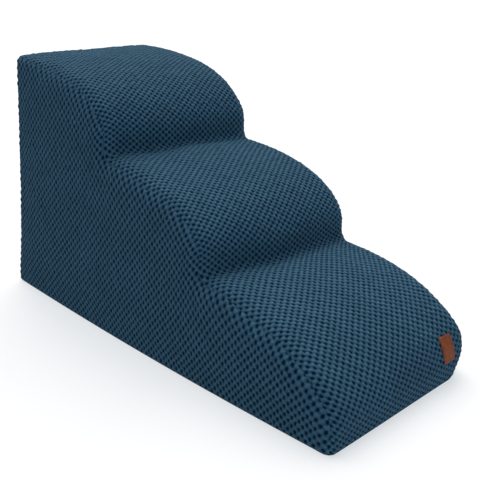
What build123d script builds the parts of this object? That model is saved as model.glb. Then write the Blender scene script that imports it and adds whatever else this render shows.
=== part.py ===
from build123d import *
import os

os.makedirs("parts", exist_ok=True)

# Three soft steps for a small pet: a foam block in a zipped knit cover.
# X is the width, Y the length with the lowest step's nose at -Y, Z is up.
# The origin is the middle of the footprint, on the floor.

# Overall size
overall_length = 600.0
stair_width = 250.0
overall_height = 330.0

# Where the three noses lie along the length, and how high the three treads reach
nose_place_shares = (0, 0.320, 0.633)
tread_height_shares = (0.367, 0.677, 1)

# Each tread curves down to a short upright riser, which turns into the next tread
riser_height = 9.0
valley_radius = 12.0

# The rounding beside the treads, which stays within a share of the tightest nose's own curve
wanted_edge_radius = 22.0
nose_curve_share = 0.9

# Cover
cover_thickness = 4.0
base_thickness = 2.0
soft_gap = 0.3

# Zip along the foot of the right-hand side, between the rounded corners
zip_height = 24.0
tape_width = 12.0
tape_thickness = 0.5
tape_split = 1.0
tape_end_length = 8.0
tape_setback = 0.95
coil_width = 2.6
coil_thickness = 1.4
coil_split = 0.6
coil_edge_radius = 0.4
stop_length = 3.0
stop_thickness = 1.8
stop_width = 3.0

# Slider and pull
slider_length = 11.0
slider_width = 8.2
slider_plate = 0.7
slider_wall = 0.8
slider_clearance = 0.15
slot_clearance = 0.4
slider_corner_radius = 2.0
slider_end_clearance = 0.3
post_length = 3.0
post_thickness = 0.3
bridge_length = 7.4
bridge_width = 2.0
bridge_thickness = 0.8
pull_bar_diameter = 1.2
pull_bar_clearance = 0.25
pull_thickness = 0.8
pull_width = 6.4
pull_neck_width = 5.0
pull_length = 24.0
pull_window_clearance = 0.3
pull_hole_radius = 1.3
pull_hole_setback = 3.4

# Topstitching
stitch_width = 0.7
stitch_height = 0.4
stitch_setback = 2.5

# Leather patch on the nose of the lowest step
patch_width = 21.0
patch_height = 29.0
patch_thickness = 1.2
patch_side_offset = 10.5
patch_foot_height = 31.0
patch_gap = 0.1
patch_stitch_inset = 2.2

# A reach that clears the whole object
clear_reach = overall_length + overall_height

# Sizes worked out from the above
half_length = overall_length / 2
half_width = stair_width / 2
inner_half_width = half_width - cover_thickness
nose_y = [overall_length * share - half_length for share in nose_place_shares]
tread_z = [overall_height * share for share in tread_height_shares]
riser_foot_z = [0] + tread_z[:-1]
nose_z = [foot_z + valley_radius + riser_height for foot_z in riser_foot_z]
tread_rear_y = [nose_y[1] - valley_radius, nose_y[2] - valley_radius, half_length]
nose_curve_radii = [
    (tread_z[step] - nose_z[step]) ** 2 / (tread_rear_y[step] - nose_y[step]) for step in (0, 1, 2)
]
edge_radius = min(wanted_edge_radius, nose_curve_share * min(nose_curve_radii))


def block(x_range, y_range, z_range):
    """A plain block between the given limits."""
    size = [limits[1] - limits[0] for limits in (x_range, y_range, z_range)]
    middle = [(limits[1] + limits[0]) / 2 for limits in (x_range, y_range, z_range)]
    return Pos(*middle) * Box(*size)


def stair_face(inset, floor_z):
    """The side outline of the stairs, drawn in by inset, from the rear over the steps to floor_z."""
    rear_y = half_length - inset
    edges = [Line((rear_y, floor_z), (rear_y, overall_height - inset))]
    for step in (2, 1, 0):
        front_y = nose_y[step] + inset
        nose = (front_y, nose_z[step])
        tread_rise = tread_z[step] - inset - nose_z[step]
        edges.append(EllipticalCenterArc((rear_y, nose_z[step]), rear_y - front_y, tread_rise, 90))
        if step > 0:
            foot_z = riser_foot_z[step]
            valley_top = (front_y, foot_z + valley_radius)
            edges.append(Line(nose, valley_top))
            rear_y = tread_rear_y[step - 1]
            edges.append(TangentArc(valley_top, (rear_y, foot_z - inset), tangent=(0, -1)))
        else:
            edges.append(Line(nose, (front_y, floor_z)))
            edges.append(Line((front_y, floor_z), (half_length - inset, floor_z)))
    return make_face(edges)


def stair_body(face, half, radius):
    """The outline given its width, with the edges beside the treads and the front rounded."""
    body = extrude(Plane.YZ * face, amount=half, both=True)
    box = body.bounding_box()
    tread_edges = [
        edge
        for edge in body.edges()
        if abs(abs(edge.center().X) - half) < soft_gap
        and edge.center().Z > box.min.Z + soft_gap
        and edge.center().Y < box.max.Y - soft_gap
    ]
    return fillet(tread_edges, radius)


outer_body = stair_body(stair_face(0, 0), half_width, edge_radius)
cavity_body = stair_body(
    stair_face(cover_thickness, base_thickness), inner_half_width, edge_radius - cover_thickness
)
foam_inset = cover_thickness + soft_gap
foam_body = stair_body(
    stair_face(foam_inset, base_thickness + soft_gap), half_width - foam_inset, edge_radius - foam_inset
)

everywhere = (-clear_reach, clear_reach)
middle_width = (-inner_half_width, inner_half_width)
above_base = (base_thickness, clear_reach)

# Foam core: three slabs glued one on the next, cut to the steps
glue_line_z = (tread_z[0] - foam_inset, tread_z[1] - foam_inset)
foam_base_slab = foam_body & block(everywhere, everywhere, (-clear_reach, glue_line_z[0]))
foam_middle_slab = foam_body & block(everywhere, everywhere, glue_line_z)
foam_top_slab = foam_body & block(everywhere, everywhere, (glue_line_z[1], clear_reach))

# Cover panels: a base, a back, two sides and one strip over all three steps
base_panel = outer_body & block(everywhere, everywhere, (-clear_reach, base_thickness))
back_panel = outer_body & block(middle_width, (half_length - cover_thickness, clear_reach), above_base)
tread_panel = (outer_body - cavity_body) & block(
    middle_width, (-clear_reach, half_length - cover_thickness), above_base
)
side_panel_left = outer_body & block((-clear_reach, -inner_half_width), everywhere, above_base)
side_right_whole = outer_body & block((inner_half_width, clear_reach), everywhere, above_base)

# Zip: where it lies, from the inside of the cover outwards
tape_in_x = inner_half_width + tape_setback
tape_out_x = tape_in_x + tape_thickness
coil_out_x = tape_out_x + coil_thickness
zip_slot = slider_width + 2 * slot_clearance
slot_low_z = zip_height - zip_slot / 2
slot_high_z = zip_height + zip_slot / 2
tape_half_length = half_length - edge_radius
zip_length = 2 * (tape_half_length - tape_end_length)
tape_low_z = zip_height - tape_split / 2 - tape_width
tape_high_z = zip_height + tape_split / 2 + tape_width

facing_region = block(everywhere, (-tape_half_length, tape_half_length), (-clear_reach, slot_high_z))
tape_pocket = block(
    (-clear_reach, tape_out_x), (-tape_half_length, tape_half_length), (tape_low_z, tape_high_z)
)
side_panel_right = side_right_whole - facing_region - tape_pocket
zip_facing = (
    side_right_whole
    & block(everywhere, (-tape_half_length, tape_half_length), (-clear_reach, slot_low_z))
) - tape_pocket


def both_sides_of_zip(near_z, far_z, x_range, y_range):
    """Two like blocks, one above and one below the middle of the zip."""
    lower = block(x_range, y_range, (zip_height - far_z, zip_height - near_z))
    upper = block(x_range, y_range, (zip_height + near_z, zip_height + far_z))
    return lower, upper


zipper_tape_lower, zipper_tape_upper = both_sides_of_zip(
    tape_split / 2,
    tape_split / 2 + tape_width,
    (tape_in_x, tape_out_x),
    (-tape_half_length, tape_half_length),
)

# Coils: closed outer shapes of the two nylon coils, which lie on the tapes' inner edges
coil_half_length = zip_length / 2 - stop_length
coils = both_sides_of_zip(
    coil_split / 2,
    coil_split / 2 + coil_width,
    (tape_out_x, coil_out_x),
    (-coil_half_length, coil_half_length),
)
zipper_coil_lower, zipper_coil_upper = [
    fillet(coil.edges().filter_by(Axis.Y).group_by(Axis.X)[-1], coil_edge_radius) for coil in coils
]

# Stops: one across both coils where the zip starts, a pair where the slider rests
stop_x = (tape_out_x, tape_out_x + stop_thickness)
zipper_bottom_stop = block(
    stop_x,
    (-zip_length / 2, -coil_half_length),
    (zip_height - stop_width, zip_height + stop_width),
)
zipper_top_stop = Compound(
    children=list(
        both_sides_of_zip(coil_split / 2, stop_width, stop_x, (coil_half_length, zip_length / 2))
    )
)


def slider():
    """Two plates joined by a post between the coils, with walls outside the coils and a bridge."""
    low_x = tape_in_x - slider_clearance - slider_plate
    top_in_x = coil_out_x + slider_clearance
    top_out_x = top_in_x + slider_plate
    y_limits = (slider_rest_y - slider_length / 2, slider_rest_y + slider_length / 2)
    z_limits = (zip_height - slider_width / 2, zip_height + slider_width / 2)
    low_plate = block((low_x, low_x + slider_plate), y_limits, z_limits)
    top_plate = block((top_in_x, top_out_x), y_limits, z_limits)
    plates = [
        fillet(plate.edges().filter_by(Axis.X), slider_corner_radius)
        for plate in (low_plate, top_plate)
    ]
    wall_reach = slider_length / 2 - slider_corner_radius
    walls = both_sides_of_zip(
        slider_width / 2 - slider_wall,
        slider_width / 2,
        (tape_out_x + slider_clearance, top_in_x),
        (slider_rest_y - wall_reach, slider_rest_y + wall_reach),
    )
    post = block(
        (low_x + slider_plate, top_in_x),
        (y_limits[1] - slider_corner_radius - post_length, y_limits[1] - slider_corner_radius),
        (zip_height - post_thickness / 2, zip_height + post_thickness / 2),
    )
    body = plates[0] + plates[1] + walls[0] + walls[1] + post
    bridge_rise = pull_bar_diameter + 2 * pull_bar_clearance
    arch = block(
        (top_out_x, top_out_x + bridge_rise + bridge_thickness),
        (slider_rest_y - bridge_length / 2, slider_rest_y + bridge_length / 2),
        (zip_height - bridge_width / 2, zip_height + bridge_width / 2),
    )
    arch = fillet(arch.edges().filter_by(Axis.Z).group_by(Axis.X)[-1], bridge_rise)
    window = block(
        (top_out_x, top_out_x + bridge_rise),
        (
            slider_rest_y - bridge_length / 2 + bridge_thickness,
            slider_rest_y + bridge_length / 2 - bridge_thickness,
        ),
        (zip_height - bridge_width, zip_height + bridge_width),
    )
    window = fillet(window.edges().filter_by(Axis.Z).group_by(Axis.X)[-1], bridge_rise - bridge_thickness)
    return body + (arch - window)


def pull():
    """A flat tab with a bar under the bridge, lying flat over the closed zip."""
    half_gap = bridge_width / 2 + pull_window_clearance
    window_reach = bridge_length / 2 + pull_window_clearance
    x_limits = (pull_axis_x - pull_thickness / 2, pull_axis_x + pull_thickness / 2)
    neck = block(
        x_limits,
        (slider_rest_y - window_reach - pull_bar_diameter, slider_rest_y),
        (zip_height - pull_neck_width / 2, zip_height + pull_neck_width / 2),
    )
    tab = block(
        x_limits,
        (slider_rest_y - pull_length, slider_rest_y - window_reach),
        (zip_height - pull_width / 2, zip_height + pull_width / 2),
    )
    tab = fillet(tab.edges().filter_by(Axis.X).group_by(Axis.Y)[0], pull_width / 2 - pull_window_clearance)
    window = block(
        everywhere,
        (slider_rest_y - window_reach, slider_rest_y + window_reach),
        (zip_height - half_gap, zip_height + half_gap),
    )
    bar = Pos(pull_axis_x, slider_rest_y, zip_height) * Cylinder(pull_bar_diameter / 2, pull_neck_width)
    hole_y = slider_rest_y - pull_length + pull_hole_setback
    hole = Pos(pull_axis_x, hole_y, zip_height) * Rot(0, 90, 0) * Cylinder(pull_hole_radius, clear_reach)
    return neck + tab - window - hole + bar


slider_rest_y = coil_half_length - slider_end_clearance - slider_length / 2
slider_travel = 2 * (coil_half_length - slider_end_clearance) - slider_length
pull_axis_x = coil_out_x + slider_clearance + slider_plate + pull_bar_clearance + pull_bar_diameter / 2
zipper_slider = slider()
zipper_pull = pull()

# Topstitching that holds the folded edges of the side to the tapes
stitch_lower, stitch_upper = both_sides_of_zip(
    zip_slot / 2 + stitch_setback,
    zip_slot / 2 + stitch_setback + stitch_width,
    (half_width, half_width + stitch_height),
    (-tape_half_length + stitch_setback, tape_half_length - stitch_setback),
)


def nose_skin(gap, thickness, x_range, z_range):
    """A piece of a layer that follows the front of the lowest step."""
    outer = extrude(Plane.YZ * stair_face(-gap - thickness, 0), amount=half_width, both=True)
    inner = extrude(Plane.YZ * stair_face(-gap, 0), amount=half_width, both=True)
    return (outer - inner) & block(x_range, (-clear_reach, nose_y[1]), z_range)


# Bare leather patch, sewn on close to its edge
patch_x = (
    half_width - edge_radius - patch_side_offset - patch_width,
    half_width - edge_radius - patch_side_offset,
)
patch_z = (patch_foot_height, patch_foot_height + patch_height)
label_patch = nose_skin(patch_gap, patch_thickness, patch_x, patch_z)
thread_outside = nose_skin(
    2 * patch_gap + patch_thickness,
    stitch_height,
    (patch_x[0] + patch_stitch_inset, patch_x[1] - patch_stitch_inset),
    (patch_z[0] + patch_stitch_inset, patch_z[1] - patch_stitch_inset),
)
thread_inset = patch_stitch_inset + stitch_width
label_stitching = thread_outside - block(
    (patch_x[0] + thread_inset, patch_x[1] - thread_inset),
    everywhere,
    (patch_z[0] + thread_inset, patch_z[1] - thread_inset),
)

nodes = {
    "foam_base_slab": foam_base_slab,
    "foam_middle_slab": foam_middle_slab,
    "foam_top_slab": foam_top_slab,
    "base_panel": base_panel,
    "back_panel": back_panel,
    "tread_panel": tread_panel,
    "side_panel_left": side_panel_left,
    "side_panel_right": side_panel_right,
    "zip_facing": zip_facing,
    "zipper_tape_upper": zipper_tape_upper,
    "zipper_tape_lower": zipper_tape_lower,
    "zipper_coil_upper": zipper_coil_upper,
    "zipper_coil_lower": zipper_coil_lower,
    "zipper_top_stop": zipper_top_stop,
    "zipper_bottom_stop": zipper_bottom_stop,
    "zipper_slider": zipper_slider,
    "zipper_pull": zipper_pull,
    "zip_stitching_upper": stitch_upper,
    "zip_stitching_lower": stitch_lower,
    "label_patch": label_patch,
    "label_stitching": label_stitching,
}
for name, shape in nodes.items():
    export_step(shape, f"parts/{name}.step")

print("slider rest y", slider_rest_y, "travel", slider_travel, "pull axis x", pull_axis_x)
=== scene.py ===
import functools
import math

import bmesh
import bpy
import numpy as np
from mathutils import Matrix, Vector, kdtree


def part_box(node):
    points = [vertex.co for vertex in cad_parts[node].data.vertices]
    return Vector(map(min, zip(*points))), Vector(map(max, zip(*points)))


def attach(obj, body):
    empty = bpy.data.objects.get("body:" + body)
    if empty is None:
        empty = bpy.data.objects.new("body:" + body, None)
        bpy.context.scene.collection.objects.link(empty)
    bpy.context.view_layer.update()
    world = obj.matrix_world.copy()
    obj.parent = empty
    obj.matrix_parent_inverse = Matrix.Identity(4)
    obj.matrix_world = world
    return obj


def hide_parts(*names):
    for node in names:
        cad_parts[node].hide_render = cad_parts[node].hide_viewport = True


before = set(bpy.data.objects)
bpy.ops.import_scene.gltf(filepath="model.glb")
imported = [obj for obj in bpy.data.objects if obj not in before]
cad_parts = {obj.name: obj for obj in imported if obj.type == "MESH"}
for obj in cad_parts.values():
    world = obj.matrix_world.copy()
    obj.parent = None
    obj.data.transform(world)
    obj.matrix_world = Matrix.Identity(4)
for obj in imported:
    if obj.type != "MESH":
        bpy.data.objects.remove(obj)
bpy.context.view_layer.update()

# Foam slabs: three slabs of open-cell polyurethane foam, one for each step, cut on a hot wire and glued flat
# on each other. The line over the steps is the side view of the made-up block: each tread curves down to a
# short upright riser, and a small hollow leads into the next tread. The soft block has settled a little.
mm = 0.001
half_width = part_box("base_panel")[1].x
half_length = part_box("base_panel")[1].y
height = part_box("tread_panel")[1].z
foam_inset = round(half_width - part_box("foam_base_slab")[1].x, 5)
valley_radius = 12 * mm
riser_height = 9 * mm
line_step = 0.25 * mm
arc_points = 600

# Of each step, the lowest first: the heights of its tread, foot and nose, the place of its tread's rear end,
# where the slab above begins, and the place of its nose. The slabs are measured to 0.01 mm.
tread_z = [round(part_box(slab)[1].z + foam_inset, 5) for slab in ("foam_base_slab", "foam_middle_slab")]
tread_z += [height]
foot_z = (0, tread_z[0], tread_z[1])
nose_z = [foot + valley_radius + riser_height for foot in foot_z]
rear_y = [round(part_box(slab)[0].y, 5) for slab in ("foam_middle_slab", "foam_top_slab")] + [half_length]
nose_y = (-half_length, rear_y[0] + valley_radius, rear_y[1] + valley_radius)


def line_over_steps():
    """Even places along the line over the steps, its points there and its normals, which point out."""
    turn = np.linspace(0, math.pi / 2, arc_points)[:, None]
    parts = []
    for step in (2, 1, 0):
        reach, rise = rear_y[step] - nose_y[step], tread_z[step] - nose_z[step]
        parts.append(np.hstack([rear_y[step] - reach * np.sin(turn), nose_z[step] + rise * np.cos(turn)]))
        valley_y = nose_y[step] - valley_radius + valley_radius * np.cos(turn)
        valley_z = foot_z[step] + valley_radius - valley_radius * np.sin(turn)
        parts.append(np.hstack([valley_y, valley_z]) if step else np.array([[nose_y[0], 0]]))
    points = np.concatenate(parts)
    along = np.r_[0, np.cumsum(np.linalg.norm(np.diff(points, axis=0), axis=1))]
    even = np.linspace(0, along[-1], round(along[-1] / line_step))
    points = np.column_stack([np.interp(even, along, points[:, k]) for k in (0, 1)])
    heading = np.gradient(points, axis=0)
    heading /= np.linalg.norm(heading, axis=1)[:, None]
    return even, points, np.column_stack([heading[:, 1], -heading[:, 0]])


line_place, line_points, line_normals = line_over_steps()
line_length = line_place[-1]
line_tree = kdtree.KDTree(len(line_points))
for number, (line_y, line_z) in enumerate(line_points):
    line_tree.insert((0, line_y, line_z), number)
line_tree.balance()


def from_line(flat):
    """How far inside the line each point is, and the place along the line that it is nearest to."""
    numbers = np.array([line_tree.find((0, y, z))[1] for y, z in flat[:, :2].tolist()])
    away = flat[:, :2] - line_points[numbers]
    return -(away * line_normals[numbers]).sum(1), line_place[numbers]


def on_line(place):
    """The points of the line and its normals at these places along it."""
    point = np.column_stack([np.interp(place, line_place, line_points[:, k]) for k in (0, 1)])
    normal = np.column_stack([np.interp(place, line_place, line_normals[:, k]) for k in (0, 1)])
    return point, normal / np.linalg.norm(normal, axis=1)[:, None]


def ease(t):
    """A smooth step from 0 to 1."""
    t = np.clip(t, 0, 1)
    return t * t * (3 - 2 * t)


# How round the long edges beside the treads are, and their corners at the rear and at the foot, where the
# near corner is tight and the far one wide. In each pair the near side comes first.
edge_radius = 22 * mm
rear_corner_radii = (8 * mm, 31 * mm)
rear_corner_length = 90 * mm
foot_radii = (9 * mm, 34 * mm)
foot_corner_length = 60 * mm


def radius_at(place, side):
    """How round the edge beside the treads is at a place along the line, on side -1 or 1."""
    rear_radius, foot_radius = (np.where(side < 0, *pair) for pair in (rear_corner_radii, foot_radii))
    radius = rear_radius + (edge_radius - rear_radius) * ease(place / rear_corner_length)
    return radius + (foot_radius - edge_radius) * ease(1 - (line_length - place) / foot_corner_length)


# How the block has settled. Its top draws in, leans to the front and tilts to the far side. Its foot spreads
# on the near side, most of all at the rear. In front the foot is skewed, and its far corner is tucked in.
lean = 14 * mm
top_draw = 7 * mm
top_tilt = 3.4 * mm
still_height = 45 * mm
foot_spread = 6.5 * mm
foot_spread_height = 120 * mm
rear_spread = (17 * mm, 4 * mm)
rear_spread_length = 200 * mm
front_skew = 5 * mm
foot_tuck = 3 * mm
foot_tuck_height = 24 * mm
zip_half_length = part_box("zip_facing")[1].y

# Where the cover is fuller. The treads are crowned, and rounder at their shoulders and at the lowest nose.
# The cover bridges the hollows between the steps, to the rear and up, and mostly on the near side.
crown = 4.2 * mm
crown_when_swollen = 3.5 * mm
crown_rise = 60 * mm
shoulder_fill = (0.6 * mm, 1.8 * mm, 5.6 * mm)
shoulder_reach = 45 * mm
nose_fill = 6 * mm
nose_fill_z = 60 * mm
nose_reach = 30 * mm
valley_fill = (10 * mm, 8 * mm)
valley_reach = 34 * mm
far_valley_share = 0.12


def mesh_piece(name, bm, *materials, smooth=True):
    """Turns a finished bmesh into a piece at the origin."""
    for face in bm.faces:
        face.smooth = smooth
    mesh = bpy.data.meshes.new(name)
    bm.to_mesh(mesh)
    bm.free()
    for material in materials:
        mesh.materials.append(material)
    piece = bpy.data.objects.new(name, mesh)
    bpy.context.scene.collection.objects.link(piece)
    return piece


def repeat(bm, geom, step, times, copies=True):
    """Repeats geometry in a straight row, or sweeps it when it leaves no copies."""
    bmesh.ops.spin(bm, geom=geom, axis=(1, 0, 0), dvec=step, angle=0, steps=times, use_duplicate=copies)


# The filling also presses the cover out. A coarse closed shell is blown up as cloth, held at its foot and
# beside the zip. What it moves is smoothed and limited, and carried to the cloth and the foam.
shell_stride = 24
shell_slices = 24
shell_voxel = 9 * mm
filling_pressure = 4
swell_frames = 20
smoothing_rounds = 4
swell_limit = 4 * mm
swell_start = 5 * mm
near_places = 6
place_blur = 1 * mm


def swelling():
    """Places on a coarse shell of the block, and how far the filling presses the cover out there."""
    bm = bmesh.new()
    outline = line_points[::shell_stride].tolist() + [[line_points[-1, 0], 0], [half_length, 0]]
    side = bm.faces.new([bm.verts.new((-half_width, y, z)) for y, z in outline])
    repeat(bm, [side], (2 * half_width / shell_slices, 0, 0), shell_slices, copies=False)
    bmesh.ops.recalc_face_normals(bm, faces=bm.faces)
    shell = mesh_piece("shell", bm)
    voxels = shell.modifiers.new("voxels", "REMESH")
    voxels.mode = "VOXEL"
    voxels.voxel_size = shell_voxel
    graph = bpy.context.evaluated_depsgraph_get()
    shell.data = bpy.data.meshes.new_from_object(shell.evaluated_get(graph))
    shell.modifiers.clear()
    before = np.array([v.co for v in shell.data.vertices])
    beside_zip = (before[:, 0] > half_width - 2 * shell_voxel) & (before[:, 2] < still_height)
    held = np.flatnonzero((before[:, 2] < shell_voxel) | beside_zip)
    shell.vertex_groups.new(name="held").add(held.tolist(), 1.0, "REPLACE")
    cloth = shell.modifiers.new("cloth", "CLOTH")
    cloth.settings.vertex_group_mass = "held"
    cloth.settings.use_pressure = True
    cloth.settings.uniform_pressure_force = filling_pressure
    cloth.settings.effector_weights.gravity = 0
    cloth.point_cache.frame_end = swell_frames
    for number in range(1, swell_frames + 1):
        bpy.context.scene.frame_set(number)
    graph = bpy.context.evaluated_depsgraph_get()
    after = np.array([v.co for v in shell.evaluated_get(graph).data.vertices])
    edges = np.array([e.vertices for e in shell.data.edges])
    bpy.context.scene.frame_set(1)
    bpy.data.objects.remove(shell)
    moved = after - before
    count = np.bincount(edges.ravel(), minlength=len(before))[:, None]
    for _ in range(smoothing_rounds):
        total = np.zeros_like(moved)
        np.add.at(total, edges[:, 0], moved[edges[:, 1]])
        np.add.at(total, edges[:, 1], moved[edges[:, 0]])
        moved = (moved + total) / (1 + count)
    length = np.linalg.norm(moved, axis=1)[:, None]
    places = kdtree.KDTree(len(before))
    for number, point in enumerate(before):
        places.insert(point, number)
    places.balance()
    return places, moved * swell_limit / (swell_limit + length)


swell = swelling()


def pressed_out(points):
    """How far the filling presses each point out: the mean of the shell's nearest places."""
    places, moved = swell
    found = [places.find_n(point, near_places) for point in points.tolist()]
    numbers = np.array([[near[1] for near in row] for row in found])
    weights = 1 / (np.array([[near[2] for near in row] for row in found]) + place_blur) ** 2
    return (moved[numbers] * weights[:, :, None]).sum(1) / weights.sum(1)[:, None]


def fullness(y, z, middle, reach):
    """1 in the middle of a round swelling in the side view, and falling off over its reach."""
    return np.exp(-((y - middle[0]) ** 2 + (z - middle[1]) ** 2) / (2 * reach**2))


def settled(points):
    """Where points of the made-up shape lie once it has settled."""
    if swell:
        points = points + pressed_out(points) * ease((points[:, 2] - swell_start) / still_height)[:, None]
    x, y, z = points.T
    across = x / half_width
    near_side = ease(-(across + 0.2) / 0.6)
    up = np.clip((z - still_height) / (height - still_height), 0, 1)
    low_down = np.clip(1 - z / foot_spread_height, 0, 1) ** 1.5
    toward_rear = np.clip((y + half_length) / (2 * half_length), 0, 1)
    in_front, behind = (ease((end - zip_half_length) / (half_length - zip_half_length)) for end in (-y, y))

    spread = foot_spread * np.clip(1 - (y / half_length) ** 2, 0, 1) * low_down * near_side
    moved_x = x * (1 - top_draw / half_width * up) - spread

    near_back = rear_spread[0] * ease((y - half_length) / rear_spread_length + 1)
    near_back = near_back * np.clip(1 - z / height, 0, 1) ** 1.4
    backward = near_back * near_side + rear_spread[1] * behind * low_down * (1 - near_side)
    skewed = front_skew * across * in_front
    tucked = foot_tuck * ease(1 - z / foot_tuck_height) * in_front * ease(0.5 + 0.5 * across)
    nose = nose_fill * fullness(y, z, (-half_length, nose_fill_z), nose_reach)
    share = far_valley_share + (1 - far_valley_share) * ease(-across)
    bridged = sum(fullness(y, z, (rear_y[step - 1], foot_z[step]), valley_reach) * share for step in (2, 1))
    moved_y = y - lean * up * toward_rear + backward + skewed + tucked - nose + valley_fill[0] * bridged

    rise = (crown_when_swollen if swell else crown) * np.clip(1 - across**4, 0, 1)
    rise = rise * ease((z - still_height) / crown_rise)
    moved_z = z + rise + valley_fill[1] * bridged - top_tilt * across * up * toward_rear

    for step in range(3):
        reach, lift = rear_y[step] - nose_y[step], tread_z[step] - nose_z[step]
        shoulder = (rear_y[step] - reach * math.sqrt(0.5), nose_z[step] + lift * math.sqrt(0.5))
        out = np.array([-lift, reach]) / math.hypot(lift, reach)
        full = shoulder_fill[step] * fullness(y, z, shoulder, shoulder_reach)
        moved_y, moved_z = moved_y + full * out[0], moved_z + full * out[1]
    return np.column_stack([moved_x, moved_y, moved_z])


def linear(code):
    """An sRGB hex colour as the linear colour that Blender takes."""
    parts = [int(code[k : k + 2], 16) / 255 for k in (1, 3, 5)]
    return tuple(c / 12.92 if c <= 0.04045 else ((c + 0.055) / 1.055) ** 2.4 for c in parts) + (1,)


def add_node(material, kind, settings=(), stops=(), **links):
    """Adds a node to a material, with its settings and, on a ramp, its stops as places and hex colours.

    Its inputs go by name, or by number, and take a value, or a socket or a node's first output as a link.
    """
    made = material.node_tree.nodes.new("ShaderNode" + kind)
    for key, value in dict(settings).items():
        setattr(made, key, value)
    for _ in stops[2:]:
        made.color_ramp.elements.new(0.5)
    for number, (place, code) in enumerate(stops):
        made.color_ramp.elements[number].position = place
        made.color_ramp.elements[number].color = linear(code)
    for key, value in links.items():
        socket = made.inputs[int(key[1:])] if key[0] == "_" else made.inputs[key.replace("_", " ")]
        value = value.outputs[0] if isinstance(value, bpy.types.Node) else value
        if isinstance(value, bpy.types.NodeSocket):
            material.node_tree.links.new(value, socket)
        else:
            socket.default_value = value
    return made


def new_material(name):
    """An empty material, and the function that adds its nodes."""
    material = bpy.data.materials.new(name)
    material.use_nodes = True
    material.node_tree.nodes.clear()
    return material, functools.partial(add_node, material)


# Polyurethane foam, pale straw, hot-wire cut: open pores of about 1 mm, drawn at 2 mm so that they show.
def open_cell_foam():
    material, node = new_material("straw open-cell foam")
    place = node("TexCoord").outputs["Object"]
    pores = node("TexVoronoi", {"feature": "DISTANCE_TO_EDGE"}, Vector=place, Scale=1 / (2 * mm))
    drift = node("TexNoise", Vector=place, Scale=1 / (60 * mm), Detail=2.0)
    straw = ((0.0, "#f1e3b4"), (0.25, "#d9c68c"), (0.6, "#b8a468"))
    walls = node("ValToRGB", stops=straw, Fac=pores)
    tone = node("MapRange", _0=drift, _1=0.3, _2=0.7, _3=0.9, _4=1.05)
    colour = node("VectorMath", {"operation": "SCALE"}, _0=walls, Scale=tone)
    relief = node("Bump", {"invert": True}, Strength=0.7, Distance=0.6 * mm, Height=pores)
    shader = node("BsdfPrincipled", Base_Color=colour, Roughness=0.95, Normal=relief)
    node("OutputMaterial", Surface=shader)
    return material


foam = open_cell_foam()
foam_slices = 24
foam_stride = 16
foam_corner_gap = 0.1 * mm
inset_line = (line_points - line_normals * foam_inset)[::foam_stride]
for slab_name in ("foam_base_slab", "foam_middle_slab", "foam_top_slab"):
    slab_low, slab_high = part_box(slab_name)
    front = [tuple(p) for p in inset_line if slab_low.z < p[1] < slab_high.z - foam_corner_gap]
    corners = [(slab_low.y, slab_low.z), (slab_high.y, slab_low.z), (slab_high.y, slab_high.z)]
    bm = bmesh.new()
    side = bm.faces.new([bm.verts.new((slab_low.x, y, z)) for y, z in front + corners])
    slice_width = (slab_high.x - slab_low.x) / foam_slices
    repeat(bm, [side], (slice_width, 0, 0), foam_slices, copies=False)
    bmesh.ops.recalc_face_normals(bm, faces=bm.faces)
    points = np.array([v.co for v in bm.verts])
    points[:, 0] = slab_high.x * np.sin(math.pi / 2 * points[:, 0] / slab_high.x)
    inset, place = from_line(points[:, 1:])
    radius = radius_at(place, points[:, 0]) - foam_inset
    over = np.clip(1 - (slab_high.x - abs(points[:, 0])) / radius, 0, 1)
    depth = radius * (1 - np.sqrt(1 - over**2)) * (inset < 2 * foam_inset)
    points[:, 1:] -= on_line(place)[1] * depth[:, None]
    for vertex, point in zip(bm.verts, settled(points).tolist()):
        vertex.co = point
    slab = mesh_piece(slab_name + "_soft", bm, foam, smooth=False)
    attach(slab, "stairs")
    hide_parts(slab_name)


# Tread cover: one strip of bobble-knit chenille velour over all three steps, quilted to thin wadding.
# The bobbles lie in staggered rows, and the small hollows between four bobbles show as dark dots: the relief
# shades them, and the velour's colour adds painted shade.
# It was pulled over by hand, so that its rows tilt a little and its columns drift.
cover_thickness = 4 * mm
rear_edge_radius = 7 * mm
floor_edge_radius = 2.5 * mm
eighth = math.pi / 4


def roll_in(points, facing, distance, radius, toward):
    """Turns a panel in by an eighth of a turn at an edge that lies distance away in the direction toward."""
    toward = np.broadcast_to(toward, points.shape)
    angle = (eighth * np.clip(1 - distance / radius, 0, 1))[:, None]
    back = np.where(distance < radius, radius - distance, 0)[:, None] - radius * np.sin(angle)
    points = points - toward * back - facing * radius * (1 - np.cos(angle))
    facing = facing * np.cos(angle) + toward * np.sin(angle)
    return points, facing / np.linalg.norm(facing, axis=1)[:, None]


def roll_ends(points, facing):
    """Turns the cover in towards the back and towards the floor."""
    rear = half_length - points[:, 1]
    floor_gap = points[:, 2].copy()
    points, facing = roll_in(points, facing, rear, rear_edge_radius, (0, 1, 0))
    return roll_in(points, facing, floor_gap, floor_edge_radius, (0, 0, -1))


def wrap_strip(flat):
    """The strip from flat to shape: X across, Y the place along the line. Gives its points and normals."""
    across, place = flat[:, 0], flat[:, 1]
    side = np.sign(across)
    radius = radius_at(place, side)
    angle = np.clip((abs(across) - (half_width - radius)) / radius, 0, None)
    point, normal = on_line(place)
    sideways = np.where(angle > 0, half_width - radius + radius * np.sin(angle), abs(across))
    inset = radius * (1 - np.cos(angle))
    points = np.column_stack([side * sideways, point - normal * inset[:, None]])
    facing = np.column_stack([side * np.sin(angle), normal * np.cos(angle)[:, None]])
    return roll_ends(points, facing)


steps_per_cell = 6


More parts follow.
